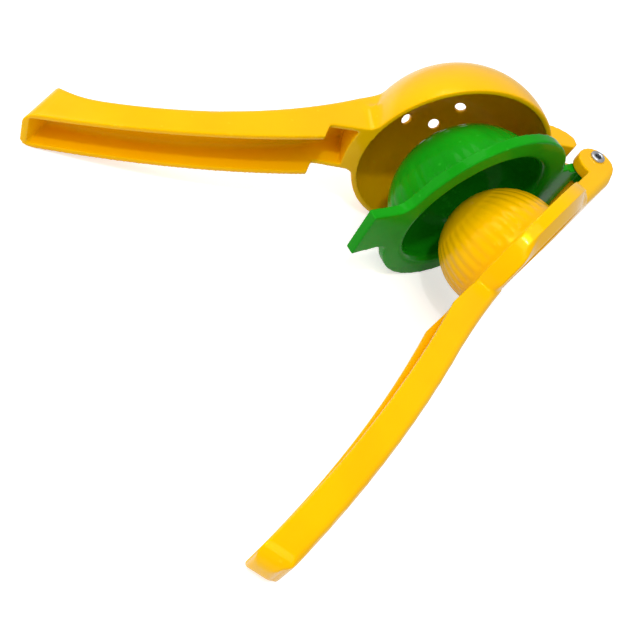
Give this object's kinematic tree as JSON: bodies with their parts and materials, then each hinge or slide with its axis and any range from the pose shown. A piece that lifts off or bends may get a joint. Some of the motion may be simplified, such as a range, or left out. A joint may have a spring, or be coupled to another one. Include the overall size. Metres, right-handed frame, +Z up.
{
  "type": "hinged lemon squeezer",
  "caption": "Hinged hand juicer: a perforated yellow bowl, a green insert cup and a ribbed pressing dome with long channel grips, all turning on one rivet.",
  "frame": {"origin": "on the table, under the middle of the tool as it lies half open on its side", "axes": "+Z up, +X from the hinge towards the tips of the grips, +Y from the bowl's grip towards the press's grip. The hinge pin leans 12 degrees from upright towards +X"},
  "size_m": [0.2008, 0.1695, 0.0758],
  "materials": {
    "yellow_enamel": "glossy baked enamel on cast aluminium",
    "green_enamel": "glossy baked enamel on cast aluminium",
    "plated_steel": "bright plated steel"
  },
  "bodies": {
    "bowl": {"bowl": "yellow_enamel"},
    "insert": {"insert": "green_enamel"},
    "press": {"press": "yellow_enamel", "rivet": "plated_steel"}
  },
  "joints": [
    {"name": "insert_hinge", "type": "hinge", "parent": "bowl", "child": "insert", "pos_m": [-0.09122, 0.00256, 0.04781], "axis": [0.2119, 0, 0.9773], "range_deg": [-21, 59]},
    {"name": "press_hinge", "type": "hinge", "parent": "insert", "child": "press", "pos_m": [-0.09122, 0.00256, 0.04781], "axis": [0.2119, 0, 0.9773], "range_deg": [-21.1, 84]}
  ]
}
